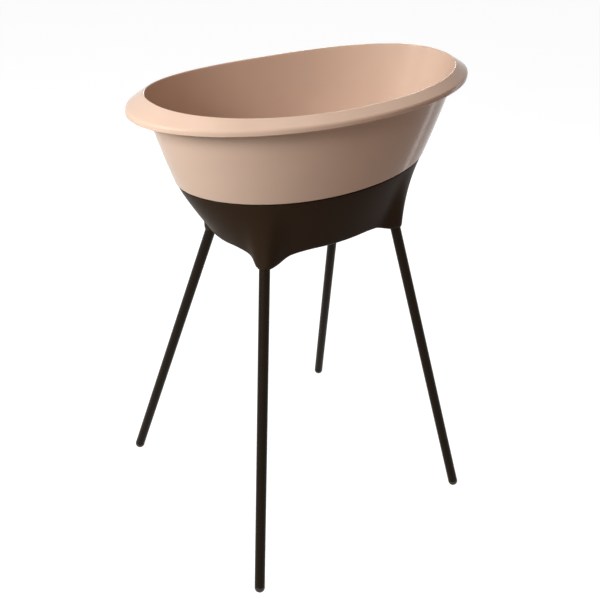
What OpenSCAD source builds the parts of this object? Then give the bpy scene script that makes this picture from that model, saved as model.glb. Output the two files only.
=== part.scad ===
// Baby bath on a four-legged stand.
// The bath nests in a moulded cradle; the cradle holds four splayed tube legs.
// Origin: on the floor, under the middle of the bath. +X along the bath, +Z up. Millimetres.

/* [Bath] */
// Overall length of the bath over its rim
bath_length = 766; // [700:1:800]
// Overall width of the bath over its rim
bath_width = 401; // [370:1:430]
// Height of the rim's crest above the floor, at mid-length
rim_height = 1000; // [900:1:1080]
// Depth from the rim's crest down to the bath's floor, at mid-length
bath_depth = 282; // [270:1:330]
// Wall thickness of the bath
bath_wall = 3; // [2.4:0.1:3.6]
// Thickness of the bath's floor
bath_floor = 4; // [3.5:0.1:5]
// How far the upper wall bows out between the rim and the seam
wall_bow = 2; // [0:0.25:5]
// Length of the bath's foot, where its walls meet its floor
foot_length = 376; // [340:1:384]
// Width of the bath's foot, where its walls meet its floor
foot_width = 218; // [190:1:222]
// Reach of the rounding between the bath's floor and its walls
floor_fillet = 26; // [16:1:34]

/* [Rim] */
// Rise of the rim's crest at the two ends
rim_rise = 12; // [0:0.5:20]
// Width of the sloping rim at the ends
rim_end_width = 40; // [30:0.5:46]
// Width of the sloping rim along the sides
rim_side_width = 27; // [20:0.5:32]
// Fall of the rim's slope at the ends
rim_end_fall = 19; // [12:0.5:24]
// Fall of the rim's slope along the sides
rim_side_fall = 10; // [8:0.5:16]
// Height of the rim's outer lip
rim_lip = 10; // [6:0.5:14]
// Reach of the rounding along the upper edge of the lip
lip_round = 3; // [1.5:0.5:5]

/* [Cradle] */
// Length of the bath where its upper wall ends above the cradle
seam_length = 584; // [560:1:600]
// Width of the bath where its upper wall ends above the cradle
seam_width = 302; // [290:1:316]
// Drop from the rim's crest to the seam, at mid-length
seam_drop = 180; // [170:1:186]
// Rise of the seam at the two ends
seam_rise = 16; // [6:0.5:20]
// Wall thickness of the cradle
cradle_wall = 3.2; // [2.6:0.1:4]
// How far the bath stands out over the cradle at the seam
seam_overhang = 3; // [1.5:0.1:5]
// Open shadow line between the bath and the cradle's upper edge
seam_gap = 2.5; // [1.5:0.1:4]
// Length of the cradle's underside, before its edge is rounded
keel_length = 418; // [408:1:440]
// Width of the cradle's underside, before its edge is rounded
keel_width = 252; // [244:1:266]
// How far the cradle's underside arches up between the leg sockets, at mid-length
arch_rise = 19; // [12:0.5:22]
// Further rise of the underside at the two ends
keel_rise = 10; // [0:0.5:11]
// Distance along the bath over which the underside comes down to a socket
arch_run_x = 103; // [80:1:112]
// The same distance across the bath
arch_run_y = 59; // [45:1:66]
// Reach of the rounding along the cradle's lower edge
keel_fillet = 8; // [4:0.5:14]
// Half width of each corner that swells out to a socket
corner_width = 27; // [22:0.5:30]

/* [Seat] */
// Thickness of the soft pads that the bath stands on
pad_h = 8; // [6:0.5:12]
// Radius of a pad
pad_r = 11; // [8:0.5:14]
// Height of the pads' seats above the cradle's floor
boss_h = 4; // [3.5:0.5:6]
// Height of the ribs on the cradle's floor
rib_h = 3; // [1.5:0.5:3]
// Thickness of the ribs on the cradle's floor
rib_w = 2; // [1.5:0.1:3]

/* [Legs] */
// Distance between the feet along the bath
foot_spacing_x = 587; // [520:1:640]
// Distance between the feet across the bath
foot_spacing_y = 564; // [500:1:620]
// Distance between the leg sockets along the bath, at their mouths
socket_spacing_x = 341; // [330:1:350]
// Distance between the leg sockets across the bath, at their mouths
socket_spacing_y = 202; // [194:1:208]
// Outer diameter of a leg tube
leg_d = 22.2; // [19:0.1:24]
// Wall thickness of a leg tube
leg_wall = 1.2; // [1:0.1:2]
// Length of tube held in each socket
socket_depth = 42; // [30:1:44]
// Wall thickness of a socket
socket_wall = 2.6; // [2.2:0.1:3]

/* [Drain] */
// Distance of the drain from the middle of the bath
drain_x = 118; // [60:1:130]
// Diameter of the hole in the bath's floor
drain_hole_d = 40; // [34:0.5:46]
// Diameter of the drain's flange
drain_flange_d = 60; // [56:0.5:66]
// Length of the drain below the bath, with its hose spigot
drain_tail = 46; // [36:0.5:60]
// Outer diameter of the hose spigot
spigot_d = 26; // [22:0.5:28]
// Length of the hose spigot
spigot_h = 12; // [8:0.5:16]

/* [Hidden] */

$fn = 48;
FINE = 72;           // facets of the drain's turned pieces
EPS = 0.01;          // overlap of solids that are joined
CUT = 1;             // how far a cut runs past the face that it opens

// Finishes
nude_plastic = [0.80, 0.67, 0.58];
espresso_plastic = [0.19, 0.15, 0.13];
espresso_paint = [0.16, 0.13, 0.11];
pale_plastic = [0.86, 0.84, 0.80];
soft_rubber = [0.10, 0.09, 0.09];
clear_silicone = [0.78, 0.76, 0.72];
zinc_steel = [0.74, 0.75, 0.76];
brass = [0.79, 0.65, 0.35];

// Clearances
fit_gap = 0.1;       // between pieces pressed or screwed together
seat_gap = 0.3;      // between a piece that lifts off and its seat
nest_gap = 1.2;      // between the bath's lower wall and the cradle
seal_gap = 0.5;      // between the stopper's seal and the drain's tail
recess_gap = 1;      // round the drain's flange in its recess
way_gap = 5;         // round the drain's nut in the cradle's floor

// Heights, each from the one above it
seam_z = rim_height - seam_drop;
cradle_top_z = seam_z - seam_gap;
floor_z = rim_height - bath_depth;
bath_under_z = floor_z - bath_floor;
pad_z = bath_under_z - seat_gap - pad_h;
bed_z = pad_z - boss_h;                      // the cradle's floor, at its middle
keel_z = bed_z - cradle_wall;
socket_z = keel_z - arch_rise;

// A disc of height h and radius r with a hole of radius hole_r through it
module ring(h, r, hole_r) {
    difference() {
        cylinder(h = h, r = r);
        translate([0, 0, -CUT]) cylinder(h = h + 2 * CUT, r = hole_r);
    }
}

// ---------------------------------------------------------------- outlines

// Radius of a superellipse in the direction phi
function oval_r(phi, a, b, n) =
    pow(pow(abs(cos(phi)) / a, n) + pow(abs(sin(phi)) / b, n), -1 / n);

// Directions round the plan, evenly spaced on an ellipse and closer together at its four corners
function directions(count, ratio, gather) = [
    for (i = [0 : count - 1])
        let (v = 360 * i / count, u = v + gather * sin(4 * v))
        atan2(ratio * sin(u), cos(u))
];

// An outline is [a, b, n, z, rise]: half length, half width, squareness, height and rise at the two ends.
// Its ring has one point in each of the directions.
function ring_of(p, dirs) = [
    for (phi = dirs)
        let (r = oval_r(phi, p[0], p[1], p[2]))
        [r * cos(phi), r * sin(phi), p[3] + p[4] * pow(r * cos(phi) / p[0], 2)]
];

// Blend between two outlines
function mix(p, q, t) = p * (1 - t) + q * t;

// The outline moved out by d in plan and up by h
function grow(p, d, h = 0) = [p[0] + d, p[1] + d, p[2], p[3] + h, p[4]];

// Rounding from p to q, as a parabola that leans to their corner: t = 0 at p, 1 at q
function bend(p, corner, q, t) = p * pow(1 - t, 2) + corner * (2 * t * (1 - t)) + q * (t * t);

// Skin over a stack of rings: the first ring is the closed bottom, the last the closed top
module skin(rings) {
    count = len(rings[0]);
    last = len(rings) - 1;
    points = [for (ring = rings) each ring];
    bottom = [[for (i = [0 : count - 1]) i]];
    top = [[for (i = [count - 1 : -1 : 0]) last * count + i]];
    sides = [
        for (j = [0 : last - 1], i = [0 : count - 1])
            let (k = (i + 1) % count, p = j * count, q = (j + 1) * count)
            each [[p + i, q + i, q + k], [p + i, q + k, p + k]]
    ];
    polyhedron(points, concat(bottom, sides, top), convexity = 8);
}

// ---------------------------------------------------------------- bath

bath_dirs = directions(88, 0.55, 0);
shoulder = seam_overhang + cradle_wall + nest_gap;      // step from the upper wall to the nested wall
step_round = 1;                                         // rounding of that step's edges
under_rim = bath_wall + 1;                              // the rim's thickness, straight down
crest_round = bath_wall / 2;                            // rounding of the crest, half of it inwards
crest_swell = 0.8 * crest_round;                        // the crest's top above its inner edge
lip_share = lip_round / rim_end_width;                  // the lip's rounding as a share of the rim's width
recess_depth = 1.5;                                     // recess in the floor for the drain's flange
recess_d = drain_flange_d + 2 * recess_gap;
flange_z = floor_z - recess_depth;

crest = [
    bath_length / 2 - rim_end_width, bath_width / 2 - rim_side_width, 2.2,
    rim_height, rim_rise
];
rim_edge = [
    bath_length / 2, bath_width / 2, 2.02,
    rim_height - rim_side_fall, rim_rise - (rim_end_fall - rim_side_fall)
];
seam = [seam_length / 2, seam_width / 2, 2.1, seam_z, seam_rise];
nested_top = grow(seam, -shoulder);
foot = [foot_length / 2, foot_width / 2, 2.2, bath_under_z, 0];

// Upper wall, from the crest (t = 0) to the seam (t = 1), with its bow. d moves it inwards
function upper_wall(t, d) = grow(mix(grow(crest, bath_wall), seam, t), 4 * wall_bow * t * (1 - t) - d);

// Lower wall, from the foot (t = 0) to the seam (t = 1)
function lower_wall(t, d) = grow(mix(foot, nested_top, t), -d);

// Rounding between the floor (t = 0) and the lower wall (t = 1). d moves it inwards and h up
function foot_bend(t, d, h) =
    bend(
        grow(foot, -floor_fillet - d, h),
        grow(foot, -d, h),
        grow(lower_wall(floor_fillet / (seam_z - bath_under_z), d), 0, h),
        t
    );

// Outside of the bath, from the floor up to the rim
outside_outlines = [
    for (t = [0 : 0.25 : 1]) foot_bend(t, 0, 0),
    lower_wall(0.6, 0),
    nested_top,
    grow(seam, -step_round),
    grow(seam, 0, step_round),
    for (t = [0.75, 0.5, 0.25]) upper_wall(t, 0)
];
// Out under the rim, round its lip, up its slope and over the crest
rim_outlines = [
    mix(grow(crest, bath_wall, -under_rim - step_round), rim_edge, 0.1),
    grow(mix(crest, rim_edge, 0.85), 0, -under_rim),
    grow(rim_edge, -bath_wall, -lip_round - bath_wall),
    grow(rim_edge, -bath_wall, -rim_lip),
    grow(rim_edge, 0, -rim_lip),
    for (t = [0 : 0.5 : 1])
        bend(grow(rim_edge, 0, -lip_round), rim_edge, mix(rim_edge, crest, lip_share), t),
    mix(crest, rim_edge, 0.5),
    mix(grow(crest, crest_round, crest_swell), rim_edge, 0.03)
];
// Inside of the bath, from the crest down to the floor
inside_outlines = [
    crest,
    for (t = [0.25, 0.5, 0.75]) upper_wall(t, bath_wall),
    grow(seam, -bath_wall, bath_wall + step_round),
    grow(nested_top, -bath_wall, -step_round),
    lower_wall(0.6, bath_wall),
    for (t = [1 : -0.25 : 0]) foot_bend(t, bath_wall, bath_floor)
];

module bath_tub() {
    outlines = concat(outside_outlines, rim_outlines, inside_outlines);
    color(nude_plastic)
    difference() {
        skin([for (p = outlines) ring_of(p, bath_dirs)]);
        translate([drain_x, 0, bath_under_z - CUT])
            cylinder(h = bath_floor + 2 * CUT, d = drain_hole_d);
        translate([drain_x, 0, flange_z])
            cylinder(h = recess_depth + CUT, d = recess_d);
    }
}

// ---------------------------------------------------------------- drain

// Flange and threaded tail
flange_h = 3;
flange_edge = 1.2;               // height of the flange's upright edge
flange_slope = 2;                // width of its sloping edge
tail_wall = 2.4;
tail_r = drain_hole_d / 2 - fit_gap;
tail_bore_r = tail_r - tail_wall;
tail_end_z = bath_under_z - drain_tail + spigot_h;
spigot_wall = 2;
bar_w = 2.5;                     // strainer's bars
bar_h = 4;
bar_drop = 16;                   // from the flange's seat down to the bars

// Washer and nut
washer_h = 2.5;
nut_h = 9;
nut_r = drain_hole_d / 2 + 6.5;
lobes = 12;
lobe_w = 5;
lobe_out = 2.5;                  // how far a lobe stands out of the nut
way_r = nut_r + lobe_out + way_gap;                     // hole in the cradle that the nut passes

// Stopper and its seal
seal_r = tail_bore_r - seal_gap;
neck_r = seal_r - 5;
neck_h = 7;
neck_flare = 3;                  // cone between the neck and the cap
cap_r = drain_flange_d / 2 - 5;
cap_h = 4;
cap_edge = 1.2;                  // height of the cap's upright edge
knob_r = 7;
knob_waist_r = 4.5;
knob_h = 12;
knob_round = 2;
seal_h = 4.5;
seal_lip = 1.5;                  // how far the seal's lip stands out of its sleeve
plug_z = flange_z + flange_h + seat_gap;                // underside of the cap

// Flange on the bath's floor with a threaded tail, a cross-shaped strainer and a hose spigot
module drain_body() {
    flange_r = drain_flange_d / 2;
    tail_h = flange_z - tail_end_z;
    color(pale_plastic)
    translate([drain_x, 0, 0]) {
        difference() {
            union() {
                translate([0, 0, flange_z]) rotate_extrude($fn = FINE) polygon([
                    [0, 0], [flange_r, 0], [flange_r, flange_edge],
                    [flange_r - flange_slope, flange_h], [0, flange_h]
                ]);
                translate([0, 0, tail_end_z]) cylinder(h = tail_h + EPS, r = tail_r);
                translate([0, 0, tail_end_z - spigot_h]) cylinder(h = spigot_h + EPS, d = spigot_d);
            }
            translate([0, 0, tail_end_z + tail_wall]) cylinder(h = tail_h + flange_h, r = tail_bore_r);
            translate([0, 0, tail_end_z - spigot_h - CUT])
                cylinder(h = spigot_h + tail_wall + 2 * CUT, d = spigot_d - 2 * spigot_wall);
        }
        for (turn = [0, 90]) rotate([0, 0, turn])
            translate([-tail_bore_r - tail_wall / 4, -bar_w / 2, flange_z - bar_drop])
                cube([2 * tail_bore_r + tail_wall / 2, bar_w, bar_h]);
    }
}

module drain_washer() {
    color(soft_rubber)
    translate([drain_x, 0, bath_under_z - washer_h]) ring(washer_h, nut_r, tail_r + fit_gap);
}

module drain_nut() {
    color(pale_plastic)
    translate([drain_x, 0, bath_under_z - washer_h - nut_h]) difference() {
        union() {
            cylinder(h = nut_h, r = nut_r);
            for (i = [0 : lobes - 1]) rotate([0, 0, 360 * i / lobes])
                translate([nut_r - lobe_out, -lobe_w / 2, 0]) cube([2 * lobe_out, lobe_w, nut_h]);
        }
        translate([0, 0, -CUT]) cylinder(h = nut_h + 2 * CUT, r = tail_r + fit_gap);
    }
}

// Stopper that drops into the tail: a neck for the seal, a sloping cap and a knob to pull it by
module drain_plug() {
    waist_low = cap_h + (knob_r - knob_waist_r);
    waist_high = cap_h + knob_h - knob_r;
    color(pale_plastic)
    translate([drain_x, 0, plug_z]) rotate_extrude($fn = FINE) polygon([
        [0, -neck_h], [neck_r, -neck_h], [neck_r, -neck_flare / 3], [neck_r + neck_flare, 0],
        [cap_r, 0], [cap_r, cap_edge], [cap_r - neck_flare, cap_h - cap_edge],
        [knob_r + neck_flare, cap_h], [knob_waist_r, waist_low], [knob_waist_r, waist_high],
        [knob_r, waist_high + knob_round], [knob_r, cap_h + knob_h - knob_round],
        [knob_r - knob_round, cap_h + knob_h], [0, cap_h + knob_h]
    ]);
}

// Sleeve round the stopper's neck with a lip that closes on the tail
module plug_seal() {
    sleeve_r = neck_r + fit_gap;
    color(clear_silicone)
    translate([drain_x, 0, plug_z - neck_h + fit_gap]) rotate_extrude($fn = FINE) polygon([
        [sleeve_r, 0], [seal_r - seal_lip, 0], [seal_r, seal_h / 2],
        [seal_r - seal_lip / 2, seal_h], [sleeve_r, seal_h]
    ]);
}

// ---------------------------------------------------------------- legs

leg_r = leg_d / 2;
bore_r = leg_r - leg_wall - fit_gap;         // what is pushed into the tube's ends
socket_r = leg_r + fit_gap + socket_wall;
foot_flat = 1;                               // how far the round foot is flattened against the floor
collar_h = 3;                                // foot's collar below the tube
stem_h = 20;                                 // foot's stem inside the tube
stem_tip = 3;                                // tapered end of that stem
stem_taper = 1.5;
insert_h = 32;
insert_head = 2;                             // insert's head above the tube
insert_floor = 4;                            // closed end below the insert's bore
bush_r = 4.5;
bush_h = 14;
screw_r = 3;
screw_l = 20;
head_r = 6;
head_h = 4;
head_bevel = 1.5;
key_af = 4;                                  // hexagon socket, across its flats
key_depth = 2.5;
washer_r = 9;
washer_thick = 1.6;
ceiling = 5;                                 // socket's closed end above the tube
mouth_lip = 1;                               // how far a socket stands out below the underside

SIDES = [[-1, -1], [1, -1], [-1, 1], [1, 1]];

lean_x = (foot_spacing_x - socket_spacing_x) / 2 / socket_z;
lean_y = (foot_spacing_y - socket_spacing_y) / 2 / socket_z;
stretch = sqrt(1 + lean_x * lean_x + lean_y * lean_y);    // leg length per height
lean_angle = acos(1 / stretch);
lean_turn = atan2(lean_y, lean_x);

// Places along a leg, measured from the floor
foot_s = (leg_r - foot_flat) * stretch;                   // centre of the round foot
mouth_s = socket_z * stretch;                             // mouth of the socket
insert_s = mouth_s + socket_depth;                        // upper face of the insert
socket_top_s = insert_s + fit_gap + ceiling;              // upper face of the socket

// Places its children on a leg: local +Z runs up the leg from its foot
module on_leg(side) {
    translate([side[0] * foot_spacing_x / 2, side[1] * foot_spacing_y / 2, 0])
        mirror([side[0] < 0 ? 1 : 0, 0, 0]) mirror([0, side[1] < 0 ? 1 : 0, 0])
            rotate([0, 0, lean_turn]) rotate([0, -lean_angle, 0]) children();
}

module leg(side) {
    low_s = foot_s + collar_h + fit_gap;
    color(espresso_paint)
    on_leg(side) translate([0, 0, low_s])
        ring(insert_s - insert_head - fit_gap - low_s, leg_r, leg_r - leg_wall);
}

// Plug in the tube's upper end, bored for the threaded bush and for the screw's end
module leg_insert(side) {
    color(espresso_plastic)
    on_leg(side) difference() {
        union() {
            translate([0, 0, insert_s - insert_head]) cylinder(h = insert_head, r = leg_r - leg_wall / 2);
            translate([0, 0, insert_s - insert_h]) cylinder(h = insert_h - insert_head + EPS, r = bore_r);
        }
        translate([0, 0, insert_s - bush_h - fit_gap]) cylinder(h = bush_h + CUT, r = bush_r + fit_gap);
        translate([0, 0, insert_s - insert_h + insert_floor])
            cylinder(h = insert_h, r = screw_r + 2 * fit_gap);
    }
}

// Rounded foot pushed into the tube's lower end and flattened where it meets the floor
module foot_cap(side) {
    color(soft_rubber)
    difference() {
        on_leg(side) translate([0, 0, foot_s]) {
            rotate_extrude($fn = FINE) intersection() {
                circle(r = leg_r, $fn = FINE);
                translate([0, -leg_d]) square([leg_d, leg_d + EPS]);
            }
            cylinder(h = collar_h, r = leg_r);
            translate([0, 0, collar_h - EPS]) cylinder(h = stem_h, r = bore_r);
            translate([0, 0, collar_h + stem_h - EPS])
                cylinder(h = stem_tip, r1 = bore_r, r2 = bore_r - stem_taper);
        }
        translate([-foot_spacing_x, -foot_spacing_y, -leg_d])
            cube([2 * foot_spacing_x, 2 * foot_spacing_y, leg_d]);
    }
}

module leg_bushes() {
    color(brass)
    for (side = SIDES) on_leg(side) translate([0, 0, insert_s - bush_h])
        ring(bush_h, bush_r, screw_r + fit_gap);
}

module leg_washers() {
    color(zinc_steel)
    for (side = SIDES) on_leg(side) translate([0, 0, socket_top_s])
        ring(washer_thick, washer_r, screw_r + 2 * fit_gap);
}

module leg_screws() {
    color(zinc_steel)
    for (side = SIDES) on_leg(side) translate([0, 0, socket_top_s + washer_thick]) difference() {
        union() {
            cylinder(h = head_h / 2, r = head_r);
            translate([0, 0, head_h / 2]) cylinder(h = head_h / 2, r1 = head_r, r2 = head_r - head_bevel);
            translate([0, 0, -screw_l]) cylinder(h = screw_l + EPS, r = screw_r);
        }
        translate([0, 0, head_h - key_depth])
            cylinder(h = key_depth + CUT, d = key_af / cos(30), $fn = 6);
    }
}

// ---------------------------------------------------------------- cradle

cradle_dirs = directions(112, 0.59, 9);
cradle_top = grow(seam, -seam_overhang, -seam_gap);
keel = [keel_length / 2, keel_width / 2, 2.2, keel_z, keel_rise];
socket_off = norm([socket_spacing_x, socket_spacing_y]) / 2;   // middle to a socket's mouth
socket_dir = atan2(socket_spacing_y, socket_spacing_x);
corner_r = socket_off + socket_r;
wall_power = 1.12;                                     // over 1, the wall bulges below its upper edge
swell_power = 1.4;                                     // over 1, the corners swell most near the sockets
bell_power = 2.7;                                      // over 2, a corner is flatter across its ridge
land = 1.5;                                            // level part beside a socket, of its radius
floor_shares = [0.05, 0.4, 0.7, 0.84, 0.93];           // rows on the floor, shares of the way out
pad_x = foot_length / 2 * 0.55;
pad_y = foot_width / 2 * 0.45;
boss_r = pad_r + 1.5;

// How near the direction phi is to a socket: 1 at the socket, falling to 0 beside it like a bell
function corner_bell(phi, width) =
    let (turn = acos(min(1, abs(cos(phi)) * cos(socket_dir) + abs(sin(phi)) * sin(socket_dir))))
    exp(-pow(socket_off * turn * PI / 180 / width, bell_power));

// 0 to 1 over v = 0 to 1: steep at first, level at the end
function ease_out(v) = 1 - pow(1 - min(1, max(0, v)), 2);

// Height of the underside: an arch that rises towards the ends and comes down to each socket's mouth
function under_z(x, y) =
    let (
        run_x = (abs(x) - socket_spacing_x / 2) / arch_run_x,
        run_y = (abs(y) - socket_spacing_y / 2) / arch_run_y,
        rise = arch_rise + keel_rise * pow(x / keel[0], 2)
    )
    socket_z + rise * ease_out(norm([run_x, run_y]) - socket_r * land / arch_run_x);

// Radius of the wall at the share t of its height, from the top: oval to oval, swelling out to the sockets
function wall_r(phi, d, t) =
    let (
        top_r = oval_r(phi, cradle_top[0] - d, cradle_top[1] - d, cradle_top[2]),
        keel_r = oval_r(phi, keel[0] - d, keel[1] - d, keel[2]),
        bell = corner_bell(phi, corner_width - d)
    )
    top_r + (keel_r - top_r) * pow(t, wall_power) + (corner_r - d - keel_r) * bell * pow(t, swell_power);

// Points on the wall and on the underside. d moves them inwards; h raises the underside.
// t is the share of the way down the wall, or of the way out to the wall's foot
function wall_point(phi, d, h, t) =
    let (
        r = wall_r(phi, d, t),
        low_r = wall_r(phi, d, 1),
        top_x = oval_r(phi, cradle_top[0], cradle_top[1], cradle_top[2]) * cos(phi),
        top_z = cradle_top_z + seam_rise * pow(top_x / cradle_top[0], 2),
        low_z = under_z(low_r * cos(phi), low_r * sin(phi)) + h
    )
    [r * cos(phi), r * sin(phi), top_z + (low_z - top_z) * t];
function under_point(phi, d, h, t) =
    let (r = wall_r(phi, d, 1) * t, x = r * cos(phi), y = r * sin(phi)) [x, y, under_z(x, y) + h];

// A line down the cradle's wall, round its lower edge and in under it to the middle
function cradle_line(phi, d, h) =
    let (
        edge = wall_point(phi, d, h, 1),
        wall_t = 1 - keel_fillet / (cradle_top_z - edge[2]),
        under_t = 1 - keel_fillet / norm([edge[0], edge[1]]),
        on_wall = wall_point(phi, d, h, wall_t),
        on_under = under_point(phi, d, h, under_t)
    )
    [
        for (t = [0 : 0.2 : 1]) wall_point(phi, d, h, t * wall_t),
        for (t = [0.3, 0.65, 1]) bend(on_wall, edge, on_under, t),
        for (i = [4 : -1 : 0]) under_point(phi, d, h, floor_shares[i])
    ];

// The moulded shell: out from the middle of its underside, up its wall, over its edge and back inside
module cradle_shell() {
    outside = [for (phi = cradle_dirs) cradle_line(phi, 0, 0)];
    inside = [for (phi = cradle_dirs) cradle_line(phi, cradle_wall, cradle_wall)];
    last = len(outside[0]) - 1;
    skin(concat(
        [for (j = [last : -1 : 0]) [for (line = outside) line[j]]],
        [for (j = [0 : last]) [for (line = inside) line[j]]]
    ));
}

// Space over the floor, from the middle of its thickness up to the bath
module floor_space() {
    skin([
        for (t = floor_shares) [for (phi = cradle_dirs) under_point(phi, 0, cradle_wall / 2, t)],
        [for (phi = cradle_dirs) let (p = under_point(phi, 0, 0, floor_shares[4])) [p[0], p[1], bath_under_z]]
    ]);
}

// Seats for the pads, ribs from seat to seat and a collar round the drain's way
module floor_ribs() {
    rib_z = bed_z + rib_h - keel_z;
    intersection() {
        floor_space();
        translate([0, 0, keel_z]) {
            for (side = SIDES) translate([side[0] * pad_x, side[1] * pad_y, 0])
                cylinder(h = pad_z - keel_z, r = boss_r);
            for (y = [-pad_y, pad_y]) translate([-pad_x, y - rib_w / 2, 0]) cube([2 * pad_x, rib_w, rib_z]);
            for (x = [-pad_x, pad_x]) translate([x - rib_w / 2, -pad_y, 0]) cube([rib_w, 2 * pad_y, rib_z]);
            translate([drain_x, 0, 0]) cylinder(h = pad_z - keel_z, r = way_r + rib_w);
        }
    }
}

module cradle() {
    bore = leg_r + fit_gap;
    color(espresso_plastic)
    difference() {
        union() {
            cradle_shell();
            floor_ribs();
            for (side = SIDES) on_leg(side) translate([0, 0, mouth_s - mouth_lip])
                cylinder(h = socket_top_s - mouth_s + mouth_lip, r = socket_r);
        }
        for (side = SIDES) on_leg(side) {
            translate([0, 0, mouth_s - socket_depth])
                cylinder(h = insert_s + fit_gap - mouth_s + socket_depth, r = bore);
            cylinder(h = socket_top_s + 2 * CUT, r = screw_r + 2 * fit_gap);
        }
        translate([drain_x, 0, keel_z - CUT]) cylinder(h = bath_under_z - keel_z, r = way_r);
    }
}

// Four soft pads on the cradle's floor, under the bath
module seat_pads() {
    bevel = 1;
    color(soft_rubber)
    for (side = SIDES) translate([side[0] * pad_x, side[1] * pad_y, pad_z]) {
        cylinder(h = pad_h - bevel, r = pad_r);
        translate([0, 0, pad_h - bevel]) cylinder(h = bevel, r1 = pad_r, r2 = pad_r - bevel);
    }
}

// ---------------------------------------------------------------- the pieces

bath_tub();
drain_body();
drain_washer();
drain_nut();
drain_plug();
plug_seal();
cradle();
seat_pads();
leg(SIDES[0]);  // leg_front_left
leg(SIDES[1]);  // leg_front_right
leg(SIDES[2]);  // leg_back_left
leg(SIDES[3]);  // leg_back_right
leg_insert(SIDES[0]);  // leg_insert_front_left
leg_insert(SIDES[1]);  // leg_insert_front_right
leg_insert(SIDES[2]);  // leg_insert_back_left
leg_insert(SIDES[3]);  // leg_insert_back_right
foot_cap(SIDES[0]);  // foot_cap_front_left
foot_cap(SIDES[1]);  // foot_cap_front_right
foot_cap(SIDES[2]);  // foot_cap_back_left
foot_cap(SIDES[3]);  // foot_cap_back_right
leg_bushes();
leg_washers();
leg_screws();
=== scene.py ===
"""Surfaces, finishes, light and camera of a baby bath on its four-legged stand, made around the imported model."""

import math

import bpy
import numpy as np
from bpy.props import FloatProperty, FloatVectorProperty, IntProperty, PointerProperty
from mathutils import Matrix, Vector


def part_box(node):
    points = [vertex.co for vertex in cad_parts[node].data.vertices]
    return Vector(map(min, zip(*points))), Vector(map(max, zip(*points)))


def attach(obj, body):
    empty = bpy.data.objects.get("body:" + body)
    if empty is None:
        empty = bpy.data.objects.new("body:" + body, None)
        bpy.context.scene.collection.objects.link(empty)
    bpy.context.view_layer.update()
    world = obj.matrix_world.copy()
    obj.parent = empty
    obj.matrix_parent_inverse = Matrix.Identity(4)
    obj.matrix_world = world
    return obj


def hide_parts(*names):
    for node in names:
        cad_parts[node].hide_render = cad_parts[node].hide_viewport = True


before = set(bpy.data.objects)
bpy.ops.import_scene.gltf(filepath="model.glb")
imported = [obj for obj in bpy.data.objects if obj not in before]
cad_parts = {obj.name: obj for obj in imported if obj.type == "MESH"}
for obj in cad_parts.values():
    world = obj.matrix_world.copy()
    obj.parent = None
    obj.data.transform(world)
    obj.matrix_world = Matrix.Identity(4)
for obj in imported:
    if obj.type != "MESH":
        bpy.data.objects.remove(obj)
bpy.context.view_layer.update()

bl_info = {
    "name": "Baby bath stand",
    "version": (1, 0, 0),
    "blender": (4, 5, 0),
    "location": "View3D > Sidebar > Bath stand",
    "description": "Makes the moulded bath, its cradle, legs and drain around the packed model",
    "category": "Object",
}

SIDES = {"front_left": (-1, -1), "front_right": (1, -1), "back_left": (-1, 1), "back_right": (1, 1)}
TUB_LOW, TUB_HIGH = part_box("bath_tub")
PLUG_LOW, PLUG_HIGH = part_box("drain_plug")
MM = 0.001
PAD_RADIUS = 0.011
# Room left between two pieces that fit together
PLAY = 0.1 * MM
# Points round a turned shape, and the angle from which its edges are sharp
TURNS = 96
SHARP = math.radians(50)

# Squareness of the plan outlines: 2 is an ellipse, more is boxier
CREST_N = 2.2
RIM_N = 2.02
SEAM_N = 2.1
FOOT_N = 2.2
KEEL_N = 2.2

# Shares of the upper wall's height at which its bow has a point
BOW_STEPS = (0.2, 0.4, 0.6, 0.8)
# Shares of a straight stretch at which it has rows, and of the last one
STRETCH = np.array([[0.06], [0.35], [0.65], [0.94]])
LAST_STRETCH = np.array([[0.06], [0.5], [1.0]])

WHITE = (1.0, 1.0, 1.0)
# Tint of the sheen on the dark brown surfaces
WARM_SHEEN = (1.0, 0.72, 0.50)
# Colours of the small pieces
SOFT_BLACK = (0.014, 0.012, 0.012)
BRASS = (0.58, 0.40, 0.13)
ZINC = (0.56, 0.57, 0.58)
MILKY = (0.60, 0.57, 0.51)


def prop_maker(**limits):
    """A function that makes properties of one kind from a name, a description and a default."""

    def make(name, description, default):
        return FloatProperty(name=name, description=description, default=default, **limits)

    return make


# A size, a place on either side of 0, an angle, a factor and a share
length_prop = prop_maker(min=0.0, precision=4, unit="LENGTH")
place_prop = prop_maker(unit="LENGTH")
turn_prop = prop_maker(subtype="ANGLE")
factor_prop = prop_maker(min=0.0)
share_prop = prop_maker(min=0.0, max=1.0, subtype="FACTOR")


def colour_prop(name, description, default):
    """A colour as it is picked, in linear light."""
    return FloatVectorProperty(name=name, description=description, default=default, subtype="COLOR", min=0.0, max=1.0)


# ---- sizes and colours that a user would change


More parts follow.
